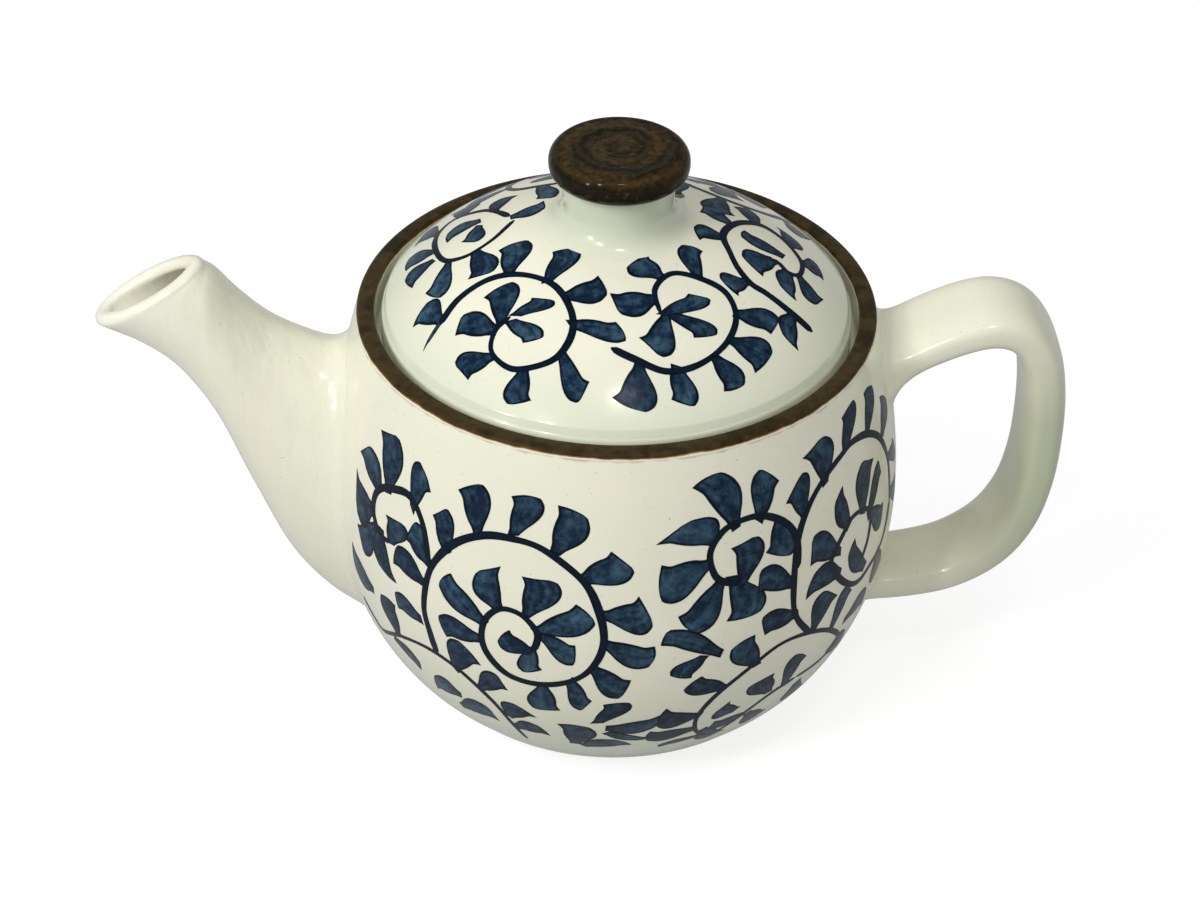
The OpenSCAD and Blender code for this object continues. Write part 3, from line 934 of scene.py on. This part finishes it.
class Paint:
    """Strokes gathered into one closed mesh that lies on the glaze."""

    def __init__(self, surface, lift):
        self.surface = surface
        self.lift = lift
        self.verts, self.normals, self.faces, self.marks, self.wash = [], [], [], [], []
        self.count = 0

    def slab(self, grid, wash, marks):
        """Adds a closed slab over a rows x columns grid of layout points."""
        rows, columns = grid.shape[:2]
        flat = grid.reshape(-1, 2)
        size = rows * columns
        for lift in (self.lift, -PAINT_DEPTH):
            points, normals = self.surface(flat, lift)
            self.verts.append(points)
            self.normals.append(normals)
            self.wash.append(wash.reshape(-1))
        a, b = grid[0, 1] - grid[0, 0], grid[1, 0] - grid[0, 0]
        over = a[0] * b[1] - a[1] * b[0] > 0
        quads = []
        for i in range(rows - 1):
            for j in range(columns - 1):
                at = i * columns + j
                quad = (at, at + 1, at + columns + 1, at + columns)
                quads.append((quad, marks[i, j]))
                quads.append((tuple(size + k for k in quad)[::-1], marks[i, j]))
        edge = list(range(columns))
        edge += [i * columns + columns - 1 for i in range(1, rows)]
        edge += [(rows - 1) * columns + j for j in range(columns - 2, -1, -1)]
        edge += [i * columns for i in range(rows - 2, 0, -1)]
        for here, there in zip(edge, edge[1:] + edge[:1]):
            quads.append(((there, here, size + here, size + there), 0))
        for quad, mark in quads:
            if not over:
                quad = quad[::-1]
            self.faces.append(tuple(k + self.count for k in quad))
            self.marks.append(mark)
        self.count += 2 * size

    def vine(self, points, width, taper):
        """A brushed line through layout points, swelling and thinning a little as it goes."""
        points = np.array(points, float)
        line = along(points, np.linspace(0, len(points) - 1, 40 * len(points)))
        total = lengths(line)[-1]
        count = max(6, int(total / 0.8))
        line = resample(line, count)
        way = unit(np.gradient(line, axis=0))
        side = np.stack([-way[:, 1], way[:, 0]], axis=1)
        t = np.linspace(0, 1, count)
        swell = 1 + 0.12 * np.sin(total * t / 5.3 + random.uniform(0, TAU)) + 0.06 * np.sin(total * t / 1.9)
        ends = np.clip(np.minimum(t, 1 - t) * total / 0.9, 0.25, 1)
        half = width / 2 * swell * ends * (taper[0] + (taper[1] - taper[0]) * t**2)
        columns = np.array([-1, -0.55, 0, 0.55, 1])
        grid = line[:, None] + side[:, None] * (half[:, None] * columns)[:, :, None]
        wash = np.tile([0.05, 0.25, 0.5, 0.25, 0.05], (count, 1))
        self.slab(grid, wash, np.zeros((count - 1, 4), int))

    def leaf(self, base, point, shoulder):
        """A leaf from its base on the vine to a pointed corner and a round shoulder."""
        base, point, shoulder = (np.array(p, float) for p in (base, point, shoulder))
        warp = np.column_stack([shoulder - base, point - base]) @ LEAF_FRAME
        axis = unit(warp[:, 1])
        breadth = abs(axis[0] * warp[1, 0] - axis[1] * warp[0, 0])
        length = np.linalg.norm((shoulder + point) / 2 - base)
        stem = min(STEM * random.uniform(0.85, 1.15) / breadth, 0.25)
        rows, cols = 16, 9
        t = np.linspace(0, 1, rows)
        t[-2] = 1 - OUTLINE / length
        t[-3] = (t[-2] + t[-4]) / 2
        bend = random.uniform(-0.07, 0.05) * np.sin(math.pi * t)
        bow = random.uniform(-0.01, 0.05)
        fade = np.clip(1 - t / 0.75, 0, 1) ** 0.6
        edges = []
        for edge, way in ((POINTED_EDGE, -1), (ROUND_EDGE, 1)):
            line = along(edge, t * (len(edge) - 1))
            line[:, 0] += way * stem * fade + bend
            edges.append(line)
        widths = np.linalg.norm((edges[1] - edges[0]) @ warp.T, axis=1)
        streaks = np.array([random.uniform(-0.4, 0.4) for _ in range(cols)])
        tone = random.choice((0.25, 0.35, 0.45, 0.6, 0.8))
        grid = np.zeros((rows, cols, 2))
        wash = np.zeros((rows, cols))
        for i in range(rows):
            border = min(OUTLINE / max(widths[i], 0.1), 0.34)
            v = np.concatenate([[0], np.linspace(border, 1 - border, cols - 2), [1]])
            grid[i] = edges[0][i] + (edges[1][i] - edges[0][i]) * v[:, None]
            grid[i, :, 1] += bow * t[i] ** 4 * np.sin(math.pi * v)
            wash[i] = (tone + streaks) * np.sin(math.pi * (0.1 + 0.8 * v)) * (0.15 + 0.85 * t[i])
        wash[:, [0, -1]] = 0.1
        wash[-1] = 0.1
        marks = np.zeros((rows - 1, cols - 1), int)
        marks[1:-1, 1:-1] = 1
        self.slab(base + grid @ warp.T, wash, marks)

    def finish(self, name, body):
        """Makes the gathered strokes one piece, lit as if they lay in the glaze."""
        piece = make_piece(name, np.concatenate(self.verts), self.faces, [ink_line, ink_wash], body,
                           marks=self.marks, sharp=None)
        values = piece.data.attributes.new("wash", "FLOAT", "POINT")
        values.data.foreach_set("value", np.concatenate(self.wash).astype(np.float32))
        piece.data.normals_split_custom_set_from_vertices(np.concatenate(self.normals).tolist())


# The points of these six tables are traced: picked on enlarged crops of the photo, put on the pot in
# millimetres by a scratch program, rounded, and some then moved by hand.
WALL_VINES = [
    # width, taper, points
    (1.45, (1.0, 0.85), [
        (-36, 36), (-37, 41), (-38, 47), (-36.5, 56), (-32, 63), (-26, 67), (-20, 68), (-14, 67),
        (-7, 62), (-4, 56), (-3, 49), (-5, 43), (-9, 39), (-15, 37), (-21, 38), (-25, 43), (-25, 49),
        (-22, 53), (-18, 53), (-15, 50), (-15, 47), (-16, 45),
    ]),
    (1.1, (0.9, 0.9), [
        (-60, 34), (-57, 31), (-54, 29.5), (-46, 34), (-38, 36), (-31, 34), (-25, 28), (-22, 21),
        (-20, 14),
    ]),
    (1.45, (1.0, 0.85), [
        (-37, 57), (-39, 64), (-43, 68), (-48, 67), (-51.5, 65), (-53, 62), (-52.5, 58.5), (-50, 56),
        (-47, 56),
    ]),
    (1.4, (1.0, 0.85), [
        (34, 57), (34, 63), (32, 67), (28, 70), (24, 71), (19, 70), (16, 66), (17, 61), (20, 59),
        (22, 59),
    ]),
    (1.4, (1.0, 0.9), [
        (38, 40), (34, 46), (33, 52), (34, 62), (37, 68), (42, 72), (48, 74), (52, 74.5), (57.5, 73),
        (62.5, 69.5), (65.5, 65), (67, 60), (67, 52),
    ]),
    (1.3, (1.0, 0.8), [
        (67, 52.3), (63, 46), (56, 44), (52.5, 43.5), (49, 45), (45, 49), (42.5, 54), (46, 58),
        (49.5, 60), (54, 59), (56, 56.5), (55, 52), (52.5, 48.5),
    ]),
    (1.2, (0.8, 0.9), [
        (38, 27), (32.5, 26), (27.5, 22.5), (24, 18.5), (20.5, 16), (17, 19), (15.5, 23.5), (16, 28),
        (19, 33), (25, 38), (31, 41), (38, 40), (45, 36), (50, 30), (46, 27), (38.3, 27),
    ]),
]
WALL_LEAVES = [
    # base, pointed corner, round shoulder
    # round the outside of the large scroll
    ((-37, 57), (-43, 59), (-40, 64)), ((-38, 52), (-46, 52), (-44, 57)),
    ((-33, 61), (-37, 67), (-33, 69)), ((-27, 67), (-32, 74), (-26, 76)),
    ((-20, 69), (-21, 76), (-15, 76)), ((-12, 67), (-12, 76), (-6, 73)), ((-7, 62), (-2, 68), (2, 63)),
    ((-3, 55), (3, 59), (5, 52)), ((-3, 49), (6, 48), (4, 43)), ((-5, 43), (2, 40), (-1, 35)),
    ((-9, 39), (-5, 34), (-8, 31)), ((-14, 37), (-11, 30), (-17, 30)),
    ((-27, 31), (-21, 33), (-24, 37)), ((-32, 34), (-26, 38), (-31, 42)),
    ((-22, 24), (-16, 26), (-21, 29)),
    # round its inner turn
    ((-25, 49), (-32, 57), (-34, 52)), ((-22, 53), (-22, 62), (-27, 58)),
    ((-17, 53), (-18, 61), (-11, 60)), ((-15, 50), (-8, 57), (-5, 52)), ((-14, 49), (-8, 48), (-9, 43)),
    ((-16, 45), (-20, 49), (-22, 45)), ((-16, 46), (-14, 41), (-18, 40)),
    ((-26, 45), (-33, 42), (-34, 47)),
    # left of it
    ((-42, 66), (-38, 71), (-42, 75)), ((-49, 66), (-54, 76), (-47, 76)),
    ((-51.5, 64.5), (-60, 68), (-55, 71)), ((-53, 60), (-60.5, 64), (-58, 55)),
    ((-52, 56.5), (-58.5, 53), (-54.5, 48)), ((-53.5, 41), (-61, 47), (-60, 40)),
    ((-47, 56), (-49, 61), (-43, 61)), ((-50, 57), (-45, 48), (-51, 50)),
    ((-39, 43), (-45, 42), (-45, 46)), ((-47, 34), (-46, 42), (-51, 41)),
    # low on the left
    ((-49, 31), (-43, 26), (-43, 30)), ((-33, 25), (-40, 22), (-38, 28)),
    ((-34, 20), (-25, 20), (-28, 25)), ((-21, 20), (-14, 19), (-17, 23)),
    ((-9, 17), (-12, 25), (-5, 24)), ((-4, 27), (-3, 33), (2, 33)), ((-2, 25), (8, 29), (6, 24)),
    ((-2, 23), (6.5, 20.5), (3, 19.5)), ((15.5, 21.5), (6.5, 23), (7, 18.5)),
    ((27, 21.5), (20, 22.5), (20, 19)), ((17.5, 17), (9.5, 14), (10, 16)),
    ((-7, 16), (3, 17), (-2, 20)),
    # the small scroll on the right
    ((21, 70), (13, 79), (20, 80)), ((26, 70), (31, 76), (26, 79)), ((17, 68), (6, 69), (14, 73)),
    ((16, 64), (7, 65), (8, 57)), ((18, 60), (10, 54), (15, 50)), ((20, 60), (19, 51), (26, 52)),
    ((22, 58), (20, 66), (26, 66)), ((30, 69), (27, 63), (33, 61)), ((33, 54), (25, 55), (27, 60)),
    ((34, 47), (27, 45), (27, 50)), ((26, 38), (25, 46), (20, 43)), ((20, 34), (15, 39), (12, 35)),
    ((16, 27), (9, 31), (8, 25)), ((18, 44), (7, 48), (10, 51)), ((15, 44), (13, 39), (9, 41)),
    # the large scroll on the right
    ((42, 71), (37, 78), (44, 79)), ((36, 67), (32, 71), (37, 75)), ((48, 59), (47, 68), (44, 64)),
    ((45, 55), (37, 56), (39, 62)), ((45, 50), (36, 49), (39, 54)), ((39, 40), (45, 45), (40, 48)),
    ((45, 37), (50, 43), (47, 45)), ((53, 59), (59, 67), (53, 68)), ((54, 46), (50, 55), (48, 51)),
    ((55, 57), (62, 62), (60, 65)), ((49, 74), (49.5, 80.5), (55, 81)),
    ((57.5, 73), (59, 80.5), (63.5, 79)), ((64.5, 68.5), (66.5, 75.5), (70.5, 72)),
    ((67, 62), (72, 63), (74, 58)), ((67, 54), (73, 54), (73, 49)), ((56, 57), (62.5, 55), (60, 50.5)),
    ((31, 27), (31, 33), (25, 31)), ((35, 27), (39, 33), (35, 35)), ((24, 25), (22, 29), (19, 25)),
    ((47, 28), (54, 24), (52, 31)), ((60, 45), (66, 39), (60, 37)), ((50, 35), (58, 33), (57, 38)),
    ((40, 24), (46, 18), (40, 17)), ((28, 21), (34, 18), (29, 15)), ((18, 20), (24, 16), (19, 14)),
]

LID_VINES = [
    (1.35, (1.0, 0.75), [
        (-34, -19), (-30, -15), (-24, -13), (-18, -14), (-12, -18), (-9, -24), (-9, -29), (-12, -33),
        (-17, -34), (-21, -33), (-24, -29), (-23, -25), (-20, -23),
    ]),
    (1.35, (0.9, 0.8), [
        (-2, -32), (2, -34), (8, -36), (14, -34), (19, -29), (21, -23), (19, -18), (14, -16), (9, -16),
        (6, -20), (7, -25),
    ]),
]
LID_LEAVES = [
    ((-34, -18), (-40, -16), (-36, -12)), ((-33, -18), (-38, -23), (-36, -20)),
    ((-20, -13), (-22, -6), (-16, -6)), ((-13, -17), (-12, -10), (-7, -11)),
    ((-10, -21), (-4, -17), (-3, -22)), ((-9, -27), (-1, -27), (0, -31)),
    ((-11, -32), (-6, -38), (-9, -41)), ((-18, -34), (-17, -40), (-22, -39)),
    ((-24, -30), (-29, -33), (-31, -28)), ((-23, -25), (-31, -23), (-28, -19)),
    ((-22, -24), (-25, -17), (-19, -16)), ((-19, -23), (-16, -20), (-12, -22)),
    ((-20, -24), (-18, -29), (-14, -28)), ((6, -22), (-2, -21), (1, -26)),
    ((7, -17), (5, -12), (1, -16)), ((14, -16), (15, -9), (11, -9)), ((21, -22), (28, -24), (29, -19)),
    ((20, -28), (25, -33), (28, -27)), ((17, -32), (19, -38), (23, -35)),
    ((10, -35), (9, -41), (14, -41)), ((3, -35), (-2, -41), (5, -43)), ((8, -25), (3, -30), (8, -33)),
    ((8, -25), (12, -20), (16, -21)), ((9, -25), (13, -29), (17, -27)),
]

# the two scrolls at the sides of the lid, which are only painted once
SIDE_VINES = [
    (1.35, (1.1, 0.8), [
        (37, -19), (32, -17), (27, -15), (24, -14), (21.5, -11), (20, -7), (19, -3), (20.5, 1),
        (23.5, 4.5), (27.5, 6.5), (31.5, 5), (34.5, 1.5), (35.5, -1.5), (34.5, -5.5), (32, -6.5),
        (30, -5), (28, -5),
    ]),
    (1.3, (0.8, 1.0), [
        (-19, 2.5), (-22.5, -1.5), (-26, -3.5), (-29, -4), (-32.5, -2.5), (-34.5, 1.5), (-35.5, 7.5),
        (-34.5, 12), (-31.5, 14.5), (-26, 12), (-23, 9), (-20, 4.5),
    ]),
]
SIDE_LEAVES = [
    ((19, -3.5), (14.5, -6), (14, -2)), ((20.5, 2.5), (15, 3.5), (17, 7.5)),
    ((23, -14), (21.5, -18), (18, -14.5)), ((32.5, -18), (34, -25), (30, -22)),
    ((29, -5), (26.5, -11), (22.5, -6.5)), ((31, -2), (23.5, 1.5), (23.5, -2)),
    ((32, -6.5), (33.5, -13.5), (29.5, -10.5)), ((34.5, -6), (40, -8.5), (37, -11.5)),
    ((36, -0.5), (40.5, -2), (39, 3)), ((33, 3.5), (31, 9.5), (36, 7)),
    ((26.5, 6), (22, 10.5), (26, 12)), ((-26.5, -4), (-28, -11), (-22.5, -10.5)),
    ((-32, -3.5), (-37, -9), (-33, -12)), ((-35.5, 0), (-40, -5), (-41.5, 0)),
    ((-35.5, 3.5), (-42, 3), (-41, 8)), ((-35.5, 11.5), (-41, 13), (-38, 18)),
    ((-30, 14), (-33, 20), (-27, 19)), ((-26, 7), (-32.5, 4), (-32, 8.5)),
    ((-26, 5), (-29.5, 1.5), (-25.5, -0.5)), ((-23, 9), (-18.5, 13.5), (-22.5, 14.5)),
    ((-19.5, 4), (-13.5, 7.5), (-14, 3.5)),
]


def mirrored(points):
    """Body layout points carried to the back of the pot, across the plane of spout and handle."""
    return [(math.pi * BELLY_R - x, s) for x, s in points]


def turned(points):
    """Lid layout points turned half way round."""
    return [(-x, -y) for x, y in points]


def scrolls(name, body, surface, layers):
    """A painted pattern's vines and leaves. layers is (how it is carried, vines, leaves) for each side."""
    lines = Paint(surface, VINE_LIFT)
    blades = Paint(surface, LEAF_LIFT)
    for carry, vines, leaves in layers:
        for width, taper, points in vines:
            lines.vine(carry(points), width, taper)
        for corners in leaves:
            blades.leaf(*carry(corners))
    lines.finish(name + "_vines", body)
    blades.finish(name + "_leaves", body)


# ---- stage ------------------------------------------------------------------


# The camera was fitted to the photo's rim ellipse and the outlines of the body and knob.
CAMERA_LENS = 75.1
CAMERA_PLACE = (-13.4, -384.1, 334.8)
CAMERA_AIM = (-2.66, 0, 47.5)
CAMERA_ROLL = 0.87
LAMP_AIM = (0, 0, 0.045)
FLOOR_GREY = (0.30, 0.30, 0.30, 1)
WORLD_LIGHT = 0.25
FLOOR_HALF = 8.0  # metres, so its edge stays out of a low view
FLOOR_SEEN = 0.80
FLOOR_GLOW = 0.24
LAMPS = [
    # name, place in metres, width, height, watts, seen in reflections
    ("key", (-1.00, -0.55, 1.00), 0.70, 0.70, 10.3, False),
    ("front", (0.55, -0.95, 0.75), 0.90, 0.90, 2.1, False),
    ("top", (0.25, -0.20, 1.45), 0.90, 0.90, 3.6, False),
    ("back", (-0.30, 0.90, 1.10), 0.90, 0.90, 2.8, False),
    ("window", (-0.55, -0.70, 0.95), 0.07, 0.16, 1.6, True),
    ("window_low", (-0.85, -0.62, 0.62), 0.06, 0.20, 1.6, True),
    ("window_high", (0.05, -0.55, 1.25), 0.16, 0.06, 1.2, True),
]


def stage():
    """A plain white floor, soft light from the upper left, and the camera."""
    mesh = bpy.data.meshes.new("floor")
    half = FLOOR_HALF
    corners = [(-half, -half, 0), (half, -half, 0), (half, half, 0), (-half, half, 0)]
    mesh.from_pydata(corners, [], [(0, 1, 2, 3)])
    material, tree, shader = new_material("floor")
    shader.inputs["Base Color"].default_value = FLOOR_GREY
    shader.inputs["Roughness"].default_value = 0.9
    shader.inputs["Specular IOR Level"].default_value = 0.0
    shader.inputs["Emission Color"].default_value = (1, 1, 1, 1)
    seen = add(tree, "LightPath").outputs["Is Camera Ray"]
    glow = spread(tree, seen, 0.0, 1.0, FLOOR_GLOW, FLOOR_SEEN)
    tree.links.new(glow, shader.inputs["Emission Strength"])
    mesh.materials.append(material)
    floor = bpy.data.objects.new("floor", mesh)
    bpy.context.scene.collection.objects.link(floor)

    world = bpy.data.worlds.new("studio")
    world.use_nodes = True
    world.node_tree.nodes["Background"].inputs["Color"].default_value = (1, 1, 1, 1)
    world.node_tree.nodes["Background"].inputs["Strength"].default_value = WORLD_LIGHT
    bpy.context.scene.world = world

    target = Vector(LAMP_AIM)
    for name, place, width, height, power, reflected in LAMPS:
        light = bpy.data.lights.new(name, "AREA")
        light.shape = "RECTANGLE"
        light.size = width
        light.size_y = height
        light.energy = power
        lamp = bpy.data.objects.new(name, light)
        lamp.location = place
        lamp.rotation_euler = (target - lamp.location).to_track_quat("-Z", "Y").to_euler()
        lamp.visible_glossy = reflected
        bpy.context.scene.collection.objects.link(lamp)

    camera = bpy.data.objects.new("camera", bpy.data.cameras.new("camera"))
    camera.data.lens = CAMERA_LENS
    camera.data.sensor_width = 36
    camera.location = Vector(CAMERA_PLACE) * MM
    aim = Vector(CAMERA_AIM) * MM - camera.location
    roll = Matrix.Rotation(math.radians(CAMERA_ROLL), 4, "Z")
    camera.rotation_euler = (aim.to_track_quat("-Z", "Y").to_matrix().to_4x4() @ roll).to_euler()
    bpy.context.scene.collection.objects.link(camera)
    bpy.context.scene.camera = camera
    bpy.context.scene.view_settings.view_transform = "Standard"


random.seed(7)
vessel()
foot_ring()
rim_band()
spout()
handle()
basket_rim()
basket_wall()
basket_hoop()
basket_base()
lid_dome()
lid_skirt()
knob()
scrolls("pot", "pot", on_wall, [(list, WALL_VINES, WALL_LEAVES), (mirrored, WALL_VINES, WALL_LEAVES)])
scrolls("lid", "lid", on_dome, [(list, LID_VINES + SIDE_VINES, LID_LEAVES + SIDE_LEAVES),
                                (turned, LID_VINES, LID_LEAVES)])
stage()
